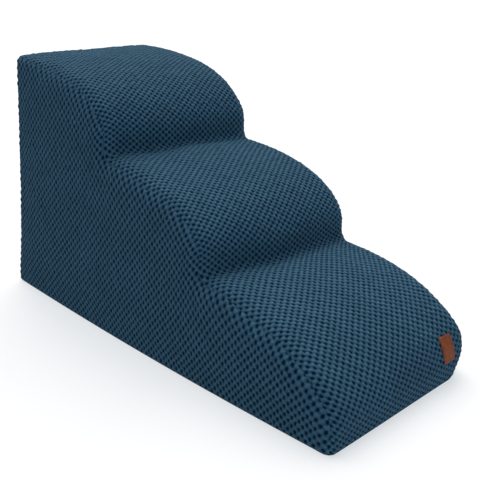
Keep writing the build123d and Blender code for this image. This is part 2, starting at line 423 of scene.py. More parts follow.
def knit_grid(cell, size, warp):
    """A flat grid in step with the knit, larger than size, with the knit's own coordinates as its UV map."""
    counts = [2 * steps_per_cell * math.ceil(size[k] / cell[k] / 2) for k in (0, 1)]
    bm = bmesh.new()
    bm.loops.layers.uv.new("knit")
    bmesh.ops.create_grid(bm, x_segments=counts[0], y_segments=counts[1], size=0.5)
    knit = bm.loops.layers.uv["knit"]
    cells = np.array(counts) / steps_per_cell
    turns = np.array([v.co[:2] for v in bm.verts]) * cells
    places = np.column_stack(warp(turns[:, 0] * cell[0], turns[:, 1] * cell[1]))
    for vertex, turn, place in zip(bm.verts, turns.tolist(), places.tolist()):
        for corner in vertex.link_loops:
            corner[knit].uv = turn
        vertex.co.xy = place
    return bm


def trim(bm, inside, step):
    """Cuts the grid where inside(points) is zero, and drops the outside."""
    for elements in (bm.verts, bm.edges, bm.faces):
        elements.index_update()
    value = inside(np.array([v.co for v in bm.verts])).tolist()
    near = [v for v in bm.verts if abs(value[v.index]) < 2 * step]
    cuts = []
    for edge in sorted({edge for vertex in near for edge in vertex.link_edges}, key=lambda edge: edge.index):
        first, last = (value[v.index] for v in edge.verts)
        if first * last < 0:
            cuts.append((edge, edge.verts[0], first / (first - last)))
    outside = [v for v in bm.verts if value[v.index] < 0]
    new = {bmesh.utils.edge_split(edge, vertex, share)[1] for edge, vertex, share in cuts}
    for face in sorted({face for vertex in new for face in vertex.link_faces}, key=lambda face: face.index):
        pair = [v for v in face.verts if v in new]
        if len(pair) == 2:
            bmesh.utils.face_split(face, pair[0], pair[1])
    bmesh.ops.delete(bm, geom=outside, context="VERTS")
    bmesh.ops.remove_doubles(bm, verts=[v for v in bm.verts if v.is_boundary], dist=step / 6)


# The knit's relief in shares of its height: seam_level is where it is flat at a seam, and hollow_level how
# deep a bobble's dome is cut. Other lengths are in cells of the knit. The bobbles' sizes repeat after 64.
bobble_height = 2.4 * mm
bobble_radius = 0.56
bobble_squeeze = 0.88
knit_sway = 0.02
seam_level = 0.6
rest_level = 0.75
hollow_level = 0.4
smallest_bobble = 0.86
bobble_size_spread = 0.28
bobble_sizes = np.random.default_rng(5).random((64, 64))


def bobbles(knit):
    """The knit's relief, from near 0 in the hollows to about 1 on the bobbles, which vary in size.

    Bobbles lie where both the sum and the difference of the knit's coordinates are whole. They are a little
    wider than high, so that the hollows are narrow and stand in upright chains.
    """
    sway = knit_sway * np.sin(7 * knit[:, ::-1] + 3 * np.sin(2.3 * knit))
    turned = (knit + sway) @ [[1, 1], [1, -1]]
    row, column = np.rint(turned).astype(int).T
    off_centre = (turned - np.rint(turned)) @ [[0.5, 0.5], [0.5, -0.5]]
    off_centre[:, 0] *= bobble_squeeze
    dome = np.sqrt(np.clip(1 - (off_centre**2).sum(axis=1) / bobble_radius**2, 0, 1))
    size = smallest_bobble + bobble_size_spread * bobble_sizes[row % 64, column % 64]
    return (dome - hollow_level) / (1 - hollow_level) * size


lining_columns = 6
lining_rows = 3


def thin_lining(bm, faces, knit):
    """Takes most inner edges out of a lining, which is plain, and leaves some of its columns and rows."""
    spare = []
    for edge in sorted({e for f in faces for e in f.edges if not e.is_boundary}, key=lambda e: e.index):
        ends = [v.link_loops[0][knit].uv * steps_per_cell for v in edge.verts]
        columns, rows = [end.x / lining_columns for end in ends], [end.y / lining_rows for end in ends]
        if not any(all(abs(at - round(at)) < 0.01 for at in line) for line in (columns, rows)):
            spare.append(edge)
    bmesh.ops.dissolve_edges(bm, edges=spare, use_verts=True)


def closed_panel(bm, outer, inner, knit=None):
    """Doubles a flat cut grid into a closed panel with the points outer and inner, and a rim between."""
    skin = list(bm.verts)
    twin = bmesh.ops.duplicate(bm, geom=bm.verts[:] + bm.edges[:] + bm.faces[:])
    lining = [f for f in twin["geom"] if isinstance(f, bmesh.types.BMFace)]
    bmesh.ops.reverse_faces(bm, faces=lining)
    for vertex, outside, inside in zip(skin, outer.tolist(), inner.tolist()):
        vertex.co = outside
        twin["vert_map"][vertex].co = inside
    bm.edges.index_update()
    if knit:
        thin_lining(bm, lining, knit)
    bmesh.ops.bridge_loops(bm, edges=[e for e in bm.edges if e.is_boundary])
    bmesh.ops.recalc_face_normals(bm, faces=bm.faces)


# Chenille velour of cut polyester pile. Its tips catch the light as a pale sheen, which the colour also
# paints in as a greyer painted sheen on the bobbles, and the hollows are painted dark as painted shade and
# run together up and down. The nap of the upright panels runs down, so that they look less silvery than the
# treads. Tufts of 2 mm stand for the finer pile.
def bobble_velour(laid, sheen):
    material, node = new_material(f"petrol blue bobble velour, {laid}")
    grain = node("TexCoord").outputs["Object"]
    stray = node("TexNoise", Vector=grain, Scale=1 / (5 * mm), Detail=1.0).outputs[1]
    centred = node("VectorMath", {"operation": "SUBTRACT"}, _0=stray, _1=(0.5, 0.5, 0.5))
    knit = node("UVMap", {"uv_map": "knit"})
    shaken = node("VectorMath", {"operation": "MULTIPLY_ADD"}, _0=centred, _1=(0.16,) * 3, _2=knit)
    diagonal = math.sqrt(2)
    turned = node("Mapping", Vector=shaken, Rotation=(0, 0, eighth), Scale=(diagonal, diagonal, 0))
    flat_cells = {"voronoi_dimensions": "2D"}
    bobble = node("TexVoronoi", flat_cells, Vector=turned, Scale=1.0, Randomness=0.12)
    smooth = {"interpolation_type": "SMOOTHSTEP"}
    round_off = node("MapRange", smooth, _0=bobble, _1=0.15, _2=0.68, _3=1.0, _4=0.0)
    parts = node("SeparateXYZ", _0=shaken)
    waves = []
    for k in (0, 1):
        turn = node("Math", {"operation": "MULTIPLY"}, _0=parts.outputs[k], _1=2 * math.pi)
        waves.append(node("Math", {"operation": "COSINE"}, _0=turn))
    wave = node("Math", {"operation": "MULTIPLY"}, _0=waves[0], _1=waves[1])
    across = node("Math", {"operation": "MULTIPLY"}, _0=waves[0], _1=waves[0])
    lifted = node("Math", {"operation": "MULTIPLY_ADD"}, _0=across, _1=-0.35, _2=0.35)
    level = node("Math", {"operation": "ADD"}, _0=wave, _1=lifted)
    hollow = node("MapRange", _0=level, _1=0.7, _2=-1.0, _3=0.0, _4=1.0)
    pile = node("TexNoise", Vector=grain, Scale=1 / (2.2 * mm), Detail=4.0, Roughness=0.7)
    cloud = node("TexNoise", Vector=grain, Scale=1 / (35 * mm), Detail=2.0)
    # The ramp paints the hollows darker as painted shade and the bobble tops greyer as a painted sheen.
    blues_with_painted_shade_and_sheen = ((0.0, "#334f60"), (0.35, "#1f4056"), (0.62, "#08283e"), (0.89, "#001426"))
    tone = node("ValToRGB", stops=blues_with_painted_shade_and_sheen, Fac=hollow)
    flecks = node("MapRange", _0=pile, _1=0.3, _2=0.7, _3=0.58, _4=1.46)
    cast = node("MapRange", _0=cloud, _1=0.3, _2=0.7, _3=0.93, _4=1.06)
    both = node("Math", {"operation": "MULTIPLY"}, _0=flecks, _1=cast)
    colour = node("VectorMath", {"operation": "SCALE"}, _0=tone, Scale=both)
    soft = node("Bump", Strength=0.7, Distance=1.1 * mm, Height=round_off)
    fibres = node("Bump", Strength=0.5, Distance=0.3 * mm, Height=pile, Normal=soft)
    shader = node(
        "BsdfPrincipled",
        Base_Color=colour,
        Roughness=0.95,
        Normal=fibres,
        Specular_IOR_Level=0.05,
        Sheen_Weight=sheen,
        Sheen_Roughness=0.4,
        Sheen_Tint=linear("#8fb0c8"),
    )
    node("OutputMaterial", Surface=shader)
    return material


upright_velour = bobble_velour("laid upright", 0.1)
lengthwise_velour = bobble_velour("laid lengthwise", 0.22)
seam_fade = 2.5 * mm
stitch_fade = 1.5 * mm


def beside_stitches(flat, stitch_z):
    """0 along a row of the zip's stitches, which pull the knit flat, and 1 away from it."""
    return ease((abs(flat[:, 1] - stitch_z) / stitch_fade - 0.3) + (abs(flat[:, 0]) > zip_half_length))


def sewn_panel(name, node_name, knit, cuts, shape, velour=upright_velour, turned_over=False, stitch_z=None):
    """A panel of the knit, laid in shape: bobbled outside, plain inside, and flat at its seams and stitches.

    knit holds the size of its cells, the size of the piece that it is cut from, and how its rows lie.
    """
    bm = knit_grid(*knit)
    if turned_over:
        bmesh.ops.reverse_faces(bm, faces=bm.faces)
    for cut in cuts:
        trim(bm, cut, knit[0][0] / steps_per_cell)
    knit_layer = bm.loops.layers.uv["knit"]
    flat = np.array([v.co for v in bm.verts])
    turns = np.array([v.link_loops[0][knit_layer].uv for v in bm.verts])
    points, facing = shape(flat)
    raised = ease(np.min([cut(flat) for cut in cuts], axis=0) / seam_fade)
    if stitch_z:
        raised = raised * beside_stitches(flat, stitch_z)
    relief = bobble_height * (seam_level + (bobbles(turns) - seam_level) * raised - rest_level)
    outer = settled(points) + facing * relief[:, None]
    inner = settled(points - facing * cover_thickness)
    closed_panel(bm, outer, inner, knit_layer)
    panel = mesh_piece(name, bm, velour)
    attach(panel, "stairs")
    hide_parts(node_name)


# How the strip's knit lies. Its columns drift to one side towards both ends, and its rows slant at the rear
# and bow in front.
strip_cell = (9.65 * mm, 8.05 * mm)
spare = 10 * mm
column_shift = 22 * mm
column_drift = 0.14
drift_middle = 400 * mm
drift_reach = 260 * mm
row_slant = 0.11
row_bow = 0.75
slant_end = 430 * mm
slant_fade = 150 * mm


def strip_warp(p, q):
    """Where a point of the knit lies on the strip, X across and Y along from the rear."""
    place = q + line_length / 2
    drift = column_drift * drift_reach * abs((place - drift_middle) / drift_reach) ** 3 / 3
    lower = ease((place - slant_end) / slant_fade)
    return p + drift - column_shift, place + row_slant * (1 - lower) * p - row_bow * lower * p * p


def strip_edge(flat):
    """How far each point is from the seam beside the treads."""
    radius = radius_at(flat[:, 1], np.sign(flat[:, 0]))
    return half_width - radius * (1 - eighth) - abs(flat[:, 0])


strip_knit = (strip_cell, (2 * half_width + 4 * spare, line_length + 5 * spare), strip_warp)
strip_cuts = (strip_edge, lambda flat: flat[:, 1], lambda flat: line_length - flat[:, 1])
sewn_panel("tread_cover", "tread_panel", strip_knit, strip_cuts, wrap_strip, lengthwise_velour)


# Side covers: one panel of the same knit on each side, cut to the line over the steps and sewn to the strip.
# The right one leaves room for the zip at its foot, with its edge folded in along the slot.
side_cell = (9.75 * mm, 10.4 * mm)
side_slant = 0.04
zip_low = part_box("zip_facing")[1].z
zip_middle = (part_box("zipper_tape_lower")[1].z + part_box("zipper_tape_upper")[0].z) / 2
zip_high = 2 * zip_middle - zip_low
fold_radius = 2.2 * mm
lower_stitch_z, upper_stitch_z = (
    (low.z + high.z) / 2 for low, high in (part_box("zip_stitching_lower"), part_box("zip_stitching_upper"))
)
front_hem = 1.1 * mm
hem_start = 10 * mm
hem_fade = 8 * mm


def slot_half_length(flat):
    """How far the slot's nearer end is from the middle. A wider hem in front covers the tapes' ends."""
    hem = front_hem * ease((flat[:, 1] - hem_start) / hem_fade)
    return zip_half_length - np.where(flat[:, 0] < 0, hem, 0)


def roll_seam(points, facing, distance, radius, toward):
    """Turns a panel in at its seam, which lies distance away in the flat, and keeps the cloth's length."""
    distance, radius = distance[:, None], np.broadcast_to(radius, len(points))[:, None]
    angle = np.clip(1 - distance / radius, 0, None)
    moved = np.where(angle > 0, distance - radius * (1 - np.sin(angle)), 0)
    points = points + toward * moved - facing * radius * (1 - np.cos(angle))
    return points, facing * np.cos(angle) + toward * np.sin(angle)


def wrap_side(flat, side):
    """A side panel, from flat to shape: X is the length, Y the height."""
    inset, place = from_line(flat)
    level = np.zeros(len(flat))
    points = np.column_stack([level + side * half_width, flat[:, :2]])
    facing = np.column_stack([level + side, level, level])
    toward = np.column_stack([level, on_line(place)[1]])
    points, facing = roll_seam(points, facing, inset, radius_at(place, side), toward)
    if side > 0:
        past_end = np.clip(abs(flat[:, 0]) - slot_half_length(flat), 0, None)
        above = np.clip(flat[:, 1] - zip_high, 0, None)
        away = np.column_stack([level, np.sign(flat[:, 0]) * past_end, above])
        gap = np.linalg.norm(away, axis=1)
        points, facing = roll_in(points, facing, gap, fold_radius, -away / np.maximum(gap, 1e-9)[:, None])
    return roll_ends(points, facing)


def side_warp(p, q):
    """Where a point of the knit lies on a side panel, X along the length and Y up."""
    return p, q + height / 2 - side_slant * p


def side_edge(flat, side):
    """How far each point is from the seam along the steps."""
    inset, place = from_line(flat)
    return inset - radius_at(place, side) * (1 - eighth)


def zip_cut(flat):
    """How far each point is from the zip's slot."""
    return np.maximum(abs(flat[:, 0]) - slot_half_length(flat), flat[:, 1] - zip_high)


side_knit = (side_cell, (2 * half_length + spare, height + 4 * spare), side_warp)
plain_cuts = [lambda flat: flat[:, 1], lambda flat: half_length - flat[:, 0]]
left_cuts = plain_cuts + [lambda flat: side_edge(flat, -1)]
right_cuts = plain_cuts + [lambda flat: side_edge(flat, 1), zip_cut]
sewn_panel(
    "side_cover_left",
    "side_panel_left",
    side_knit,
    left_cuts,
    lambda flat: wrap_side(flat, -1),
    turned_over=True,
)
sewn_panel(
    "side_cover_right",
    "side_panel_right",
    side_knit,
    right_cuts,
    lambda flat: wrap_side(flat, 1),
    stitch_z=upper_stitch_z,
)


# Back cover: one upright panel of the same knit, with round upper corners.
# It is sewn to the strip, to both sides and to the base, and its edges turn in at the seams.
def back_outline(flat):
    """How far inside the back's outline each point is, and which way out is: round corners at the top."""
    radius = np.where(flat[:, 0] < 0, *rear_corner_radii)
    over = np.column_stack([abs(flat[:, 0]) - half_width, flat[:, 1] - height]) + radius[:, None]
    outward = np.maximum(over, 0)
    inner = (over < 0).all(axis=1)
    outward[inner, 0] = over[inner, 0] > over[inner, 1]
    outward[inner, 1] = over[inner, 0] <= over[inner, 1]
    outward /= np.linalg.norm(outward, axis=1)[:, None]
    return radius - np.where(inner, over.max(axis=1), np.linalg.norm(np.maximum(over, 0), axis=1)), outward


def wrap_back(flat):
    """The back panel, from flat to shape: X across, seen from behind, and Y the height."""
    distance, outward = back_outline(flat)
    toward = np.column_stack([np.sign(flat[:, 0]) * outward[:, 0], np.zeros(len(flat)), outward[:, 1]])
    points = np.column_stack([flat[:, 0], np.full(len(flat), half_length), flat[:, 1]])
    facing = np.tile([0.0, 1.0, 0.0], (len(flat), 1))
    points, facing = roll_seam(points, facing, distance, rear_edge_radius, toward)
    return roll_in(points, facing, flat[:, 1].copy(), floor_edge_radius, (0, 0, -1))


back_knit = (side_cell, (2 * half_width + 2 * spare, height + 2 * spare), lambda p, q: (p, q + height / 2))
back_cuts = [lambda flat: back_outline(flat)[0] - rear_edge_radius * (1 - eighth), lambda flat: flat[:, 1]]
sewn_panel("back_cover", "back_panel", back_knit, back_cuts, wrap_back, turned_over=True)


# Zip facing: a narrow strip of the same knit below the zip.
# Its upper edge is folded in along the slot, and it is sewn to the base and, at its ends, to the side.
seam_take_up = 1.2 * mm


def facing_end(flat):
    """How far each point is from the facing's nearer end, with the cloth that the seam there takes up."""
    return zip_half_length + seam_take_up - abs(flat[:, 0])


def wrap_facing(flat):
    """The facing, from flat to shape: X is the length, Y the height."""
    points = np.column_stack([np.full(len(flat), half_width), flat[:, 0], flat[:, 1]])
    facing = np.tile([1.0, 0.0, 0.0], (len(flat), 1))
    end = np.column_stack([np.zeros(len(flat)), np.sign(flat[:, 0]), np.zeros(len(flat))])
    points, facing = roll_in(points, facing, facing_end(flat), fold_radius, end)
    points, facing = roll_in(points, facing, zip_low - flat[:, 1], fold_radius, (0, 0, 1))
    return roll_in(points, facing, flat[:, 1].copy(), floor_edge_radius, (0, 0, -1))


facing_size = (2 * zip_half_length + spare, 4 * zip_low)
facing_knit = (side_cell, facing_size, lambda p, q: (p, q + zip_low / 2 - side_slant * p))
facing_cuts = [lambda flat: flat[:, 1], lambda flat: zip_low - flat[:, 1], facing_end]
sewn_panel("zip_facing_strip", "zip_facing", facing_knit, facing_cuts, wrap_facing, stitch_z=lower_stitch_z)


# Base: a non-slip cloth under the block, coarse black polyester with rows of small PVC grip dots printed on
# it. It is sewn in along the cover's lower edge, and the dots alone touch the floor.
base_inset = floor_edge_radius * (1 - math.sqrt(0.5))
dot_height = 0.5 * mm
dot_sink = 0.1 * mm
dot_radius = 2.2 * mm
dot_taper = 0.7
dot_spacing = 9 * mm
cloth_thickness = 0.9 * mm
base_steps = (64, 150)
base_step = 4 * mm
unit_wave = 0.314


def base_edge(flat):
    """How far inside the base's outline each point is: its corners are as round as the cover's."""
    near = flat[:, 0] < 0
    front = np.where(near, *foot_radii)
    radius = np.where(flat[:, 1] < 0, front, rear_edge_radius) - base_inset
    over = np.column_stack([abs(flat[:, 0]) - half_width, abs(flat[:, 1]) - half_length]) + base_inset
    over += radius[:, None]
    inner = np.minimum(over.max(axis=1), 0)
    return radius - inner - np.linalg.norm(np.maximum(over, 0), axis=1)


# Polyester base cloth, calendered: a plain weave of 0.5 mm threads, drawn at 1.5 mm so that it shows.
# The threads' waves have a length of unit_wave at scale 1.
def base_cloth():
    material, node = new_material("black plain-weave base cloth")
    place = node("TexCoord").outputs["Object"]
    scale = unit_wave / (1.5 * mm)
    threads = []
    for axis in ("X", "Y"):
        bands = {"bands_direction": axis, "wave_profile": "SIN"}
        wave = node("TexWave", bands, Vector=place, Scale=scale, Distortion=0.4, Detail=1.0)
        threads.append(wave.outputs["Fac"])
    weave = node("Math", {"operation": "MAXIMUM"}, _0=threads[0], _1=threads[1])
    colour = node("ValToRGB", stops=((0.2, "#101216"), (0.9, "#24282e")), Fac=weave)
    relief = node("Bump", Strength=0.6, Distance=0.3 * mm, Height=weave)
    shader = node("BsdfPrincipled", Base_Color=colour, Roughness=0.85, Normal=relief)
    node("OutputMaterial", Surface=shader)
    return material


# Soft PVC, screen-printed and foamed: matt black with a faint skin gloss.
def grip_dots():
    material, node = new_material("black printed grip dots")
    place = node("TexCoord").outputs["Object"]
    skin = node("TexNoise", Vector=place, Scale=1 / (0.8 * mm), Detail=2.0)
    colour = node("ValToRGB", stops=((0.3, "#0c0d0f"), (0.7, "#1b1d20")), Fac=skin)
    relief = node("Bump", Strength=0.3, Distance=0.1 * mm, Height=skin)
    shader = node("BsdfPrincipled", Base_Color=colour, Roughness=0.5, Normal=relief)
    node("OutputMaterial", Surface=shader)
    return material


bm = bmesh.new()
bmesh.ops.create_grid(bm, x_segments=base_steps[0], y_segments=base_steps[1], size=0.5)
bmesh.ops.scale(bm, vec=(2 * half_width + spare, 2 * half_length + spare, 1), verts=bm.verts)
trim(bm, base_edge, base_step)
flat = np.array([v.co for v in bm.verts])
flat[:, 2] = dot_height + cloth_thickness
upper = settled(flat)
closed_panel(bm, upper, upper - (0, 0, cloth_thickness))
cloth = set(bm.faces)
rows, columns = 37, 28
row_gap = dot_spacing * math.sqrt(3) / 2
first = Vector((-columns / 2 * dot_spacing, -rows * row_gap, (dot_height + dot_sink) / 2))
for start in (first, first + Vector((dot_spacing / 2, row_gap, 0))):
    bmesh.ops.create_cone(
        bm,
        cap_ends=True,
        segments=8,
        radius1=dot_radius * dot_taper,
        radius2=dot_radius,
        depth=dot_height + dot_sink,
        matrix=Matrix.Translation(start),
    )
for step, times in (((dot_spacing, 0, 0), columns), ((0, 2 * row_gap, 0), rows)):
    printed = [f for f in bm.faces if f not in cloth]
    repeat(bm, printed, step, times)
printed = sorted({v for f in bm.faces if f not in cloth for v in f.verts}, key=lambda v: v.index)
points = np.array([v.co for v in printed])
row = np.rint((points[:, 1] - first.y) / row_gap)
shift = first.x + row % 2 / 2 * dot_spacing
column = np.rint((points[:, 0] - shift) / dot_spacing)
centres = np.column_stack([shift + column * dot_spacing, first.y + row * row_gap, 0 * row])
kept = base_edge(centres) > 2 * dot_radius
for vertex, point in zip(printed, settled(points).tolist()):
    vertex.co = point
for face in bm.faces:
    face.material_index = int(face not in cloth)
bmesh.ops.delete(bm, geom=[v for v, keep in zip(printed, kept) if not keep], context="VERTS")
base = mesh_piece("base_cloth", bm, base_cloth(), grip_dots(), smooth=False)
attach(base, "stairs")
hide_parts("base_panel")


# Zip tapes: two narrow herringbone tapes of polyester, dyed to match, each sewn behind a folded edge.
# Their inner edges carry a thicker woven bead, to which the coil is stitched. The weave of dyed polyester
# yarn is drawn with ribs of 0.9 mm, coarser than real, and is matt with a faint sheen.
def zip_tape_weave():
    material, node = new_material("petrol blue herringbone zip tape")
    place = node("TexCoord").outputs["Object"]
    bands = {"bands_direction": "DIAGONAL", "wave_profile": "TRI"}
    scale = unit_wave / (0.9 * mm)
    rib = node("TexWave", bands, Vector=place, Scale=scale, Distortion=0.3).outputs["Fac"]
    worn = node("TexNoise", Vector=place, Scale=1 / (8 * mm), Detail=2.0)
    colour = node("ValToRGB", stops=((0.1, "#0c2332"), (0.9, "#1f3d50")), Fac=rib)
    tone = node("MapRange", _0=worn, _1=0.3, _2=0.7, _3=0.85, _4=1.1)
    shade = node("VectorMath", {"operation": "SCALE"}, _0=colour, Scale=tone)
    relief = node("Bump", Strength=0.5, Distance=0.15 * mm, Height=rib)
    shader = node("BsdfPrincipled", Base_Color=shade, Roughness=0.8, Normal=relief, Sheen_Weight=0.15)
    node("OutputMaterial", Surface=shader)
    return material


tape_weave = zip_tape_weave()
tape_steps = (10, 140)
bead_width = 1.6 * mm
bead_height = 0.12 * mm
rib_height = 0.06 * mm
for tape_name in ("zipper_tape_lower", "zipper_tape_upper"):
    tape_low, tape_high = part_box(tape_name)
    width, length = tape_high.z - tape_low.z, tape_high.y - tape_low.y
    bm = bmesh.new()
    bmesh.ops.create_grid(bm, x_segments=tape_steps[0], y_segments=tape_steps[1], size=0.5)
    bmesh.ops.scale(bm, vec=(width, length, 1), verts=bm.verts)
    flat = np.array([v.co for v in bm.verts])
    up = flat[:, 0] + (tape_low.z + tape_high.z) / 2
    split = min(abs(tape_low.z - zip_middle), abs(tape_high.z - zip_middle))
    bead = ease(1 - (abs(up - zip_middle) - split) / bead_width)
    rib = rib_height * np.cos(math.pi * (flat[:, 1] - tape_low.y) / length * tape_steps[1])
    front_x = tape_high.x - bead_height + bead_height * bead + rib * (1 - bead)
    front_side = np.column_stack([front_x, flat[:, 1], up])
    rear_side = np.column_stack([np.full(len(flat), tape_low.x), flat[:, 1], up])
    closed_panel(bm, front_side, rear_side)
    tape = mesh_piece(tape_name + "_woven", bm, tape_weave)
    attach(tape, "stairs")
    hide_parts(tape_name)


# Zip coils: two coils of nylon monofilament, 0.7 mm thick, each sewn to the edge of its tape.
# Their turns lie between each other and lock in the middle.
coil_rows, turns_in_row = 20, 20
wire_radius = 0.34 * mm
wire_sides = 5
steps_per_turn = 8
coil_overlap = 0.25 * mm


# Nylon 6 monofilament, drawn and dyed: smooth and slightly glossy, and lighter where the slider has run.
def zip_nylon():
    material, node = new_material("dyed nylon zip coil")
    place = node("TexCoord").outputs["Object"]
    rubbed = node("TexNoise", Vector=place, Scale=1 / (4 * mm), Detail=2.0)
    colour = node("ValToRGB", stops=((0.3, "#12293a"), (0.7, "#24455a")), Fac=rubbed)
    gloss = node("MapRange", _0=rubbed, _1=0.3, _2=0.7, _3=0.3, _4=0.45)
    shader = node("BsdfPrincipled", Base_Color=colour, Roughness=gloss, IOR=1.53)
    node("OutputMaterial", Surface=shader)
    return material


nylon = zip_nylon()
for coil_name, start, inner in (
    ("zipper_coil_lower", 0, coil_overlap),
    ("zipper_coil_upper", 0.5, -coil_overlap),
):
    coil_low, coil_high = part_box(coil_name)
    pitch = (coil_high.y - coil_low.y) / (coil_rows * turns_in_row + 1)
    reach_x = (coil_high.x - coil_low.x) / 2 - wire_radius
    reach_z = (coil_high.z - coil_low.z) / 2 - wire_radius + coil_overlap
    centre = Vector(((coil_low.x + coil_high.x) / 2, 0, (coil_low.z + coil_high.z) / 2 + inner))
    bm = bmesh.new()
    bmesh.ops.create_circle(bm, cap_ends=False, segments=wire_sides, radius=wire_radius)
    bmesh.ops.translate(bm, vec=(1, 0, 0), verts=bm.verts)
    bmesh.ops.spin(
        bm,
        geom=bm.edges[:],
        axis=(0, 1, 0),
        angle=2 * math.pi,
        dvec=(0, pitch / steps_per_turn, 0),
        steps=steps_per_turn,
    )
    for times, stride in ((turns_in_row, pitch), (coil_rows, turns_in_row * pitch)):
        repeat(bm, bm.faces[:], (0, stride, 0), times - 1)
    bmesh.ops.remove_doubles(bm, verts=bm.verts, dist=0.01 * mm)
    bmesh.ops.holes_fill(bm, edges=[e for e in bm.edges if e.is_boundary])
    bmesh.ops.recalc_face_normals(bm, faces=bm.faces)
    for vertex in bm.verts:
        around = math.hypot(vertex.co.x, vertex.co.z)
        turn_x, turn_z = vertex.co.x / around, vertex.co.z / around
        vertex.co.x = centre.x + turn_x * (reach_x + around - 1)
        vertex.co.z = centre.z + turn_z * (reach_z + around - 1)
        vertex.co.y += coil_low.y + start * pitch + wire_radius
    coil = mesh_piece(coil_name + "_turns", bm, nylon)
    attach(coil, "stairs")
    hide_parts(coil_name)


# Stops, slider and pull: die-cast zinc, tumbled so that all edges are broken, and plated with satin nickel.
# The stops are pressed round the coils, the slider runs on them, and the pull hangs on the slider's bridge.
# The tumbled plating is a grey mirror with soft, slightly uneven reflections.
def plated_zinc():
    material, node = new_material("nickel-plated cast zinc")
    place = node("TexCoord").outputs["Object"]
    tumbled = node("TexNoise", Vector=place, Scale=1 / (1.2 * mm), Detail=4.0)
    colour = node("ValToRGB", stops=((0.3, "#6b6e70"), (0.7, "#85888a")), Fac=tumbled)
    gloss = node("MapRange", _0=tumbled, _1=0.3, _2=0.7, _3=0.28, _4=0.42)
    relief = node("Bump", Strength=0.15, Distance=0.05 * mm, Height=tumbled)
    shader = node("BsdfPrincipled", Base_Color=colour, Metallic=1.0, Roughness=gloss, Normal=relief)
    node("OutputMaterial", Surface=shader)
    return material


metal = plated_zinc()
stop_edge, small_edge = 0.35 * mm, 0.16 * mm
sharp_angle = math.radians(50)
for metal_name, body, broken in (
    ("zipper_bottom_stop", "stairs", stop_edge),
    ("zipper_top_stop", "stairs", stop_edge),
    ("zipper_slider", "zip_slider", small_edge),
    ("zipper_pull", "zip_pull", small_edge),
):
    bm = bmesh.new()
    bm.from_mesh(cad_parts[metal_name].data)
    bmesh.ops.remove_doubles(bm, verts=bm.verts, dist=0.001 * mm)
    bmesh.ops.dissolve_limit(bm, angle_limit=math.radians(1), verts=bm.verts, edges=bm.edges)
    sharp = [e for e in bm.edges if len(e.link_faces) == 2 and e.calc_face_angle() > sharp_angle]
    bmesh.ops.bevel(
        bm,
        geom=sharp,
        offset=broken,
        segments=2,
        profile=0.5,
        affect="EDGES",
        clamp_overlap=True,
        material=-1,
    )
    cast = mesh_piece(metal_name + "_cast", bm, metal)
    flat_faces = cast.modifiers.new("flat faces", "WEIGHTED_NORMAL")
    flat_faces.weight = 100
    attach(cast, body)
    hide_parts(metal_name)


# Zip stitching: two rows of lockstitch in matching polyester thread, which hold the tapes to the folded
# edges. Each stitch is a short thread that is arched and dips into the cloth at both ends.
stitch_length = 3.4 * mm
stitch_gap = 0.5 * mm
thread_width = 0.7 * mm
thread_sink = 0.1 * mm


# Spun polyester thread of two twisted plies, which show as slanting lines 0.5 mm apart, with a soft sheen.
def sewing_thread(name, dark, light):
    material, node = new_material(name)
    place = node("TexCoord").outputs["Object"]
    bands = {"bands_direction": "DIAGONAL", "wave_profile": "SIN"}
    ply = node("TexWave", bands, Vector=place, Scale=unit_wave / (0.5 * mm)).outputs["Fac"]
    colour = node("ValToRGB", stops=((0.0, dark), (1.0, light)), Fac=ply)
    relief = node("Bump", Strength=0.5, Distance=0.08 * mm, Height=ply)
    shader = node("BsdfPrincipled", Base_Color=colour, Roughness=0.55, Normal=relief, Sheen_Weight=0.2)
    node("OutputMaterial", Surface=shader)
    return material


def stitch_row(bm, starts, ends, facing, thread):
    """Adds a stitch from each start to its end, where facing points out of the cloth."""
    for start, end, out in zip(starts, ends, facing):
        along = end - start
        turn = Matrix((along.normalized(), out.cross(along).normalized(), out)).transposed().to_4x4()
        size = Matrix.Diagonal((along.length / 2 + thread / 3, thread / 2, thread / 2, 1))
        place = Matrix.Translation((start + end) / 2)
        bmesh.ops.create_uvsphere(bm, u_segments=6, v_segments=6, radius=1, matrix=place @ turn @ size)


blue_thread = sewing_thread("petrol blue polyester thread", "#0d2637", "#2c5066")
for row_name, row_z in (("zip_stitching_lower", lower_stitch_z), ("zip_stitching_upper", upper_stitch_z)):
    row_low, row_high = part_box(row_name)
    start = Vector((row_high.x - thread_width / 2 - thread_sink, row_low.y, row_z))
    pitch = stitch_length + stitch_gap
    bm = bmesh.new()
    stitch_row(bm, [start], [start + Vector((0, stitch_length, 0))], [Vector((1, 0, 0))], thread_width)
    repeat(bm, bm.faces[:], (0, pitch, 0), int((row_high.y - row_low.y) / pitch) - 1)
    row = mesh_piece(row_name + "_thread", bm, blue_thread)
    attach(row, "stairs")
    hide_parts(row_name)


# Patch: a small plain tab of vegetable-tanned leather on the lowest nose, die-cut with round corners, with a
# creased border, and sewn through the cover along that border.
patch_low, patch_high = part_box("label_patch")
patch_corner = 1.5 * mm
patch_thickness = 1.3 * mm
patch_lift = 0.3 * mm
patch_step = 0.45 * mm
edge_wear = 0.45 * mm
edge_wear_width = 0.6 * mm
crease_depth = 0.28 * mm
crease_width = 0.45 * mm
patch_top, patch_bottom = np.interp([-patch_high.z, -patch_low.z], -line_points[:, 1], line_place)
patch_middle = Vector(((patch_low.x + patch_high.x) / 2, (patch_top + patch_bottom) / 2, 0))
patch_half = Vector(((patch_high.x - patch_low.x) / 2, (patch_bottom - patch_top) / 2, 0))
border_inset = (patch_high.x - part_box("label_stitching")[1].x) + thread_width / 2


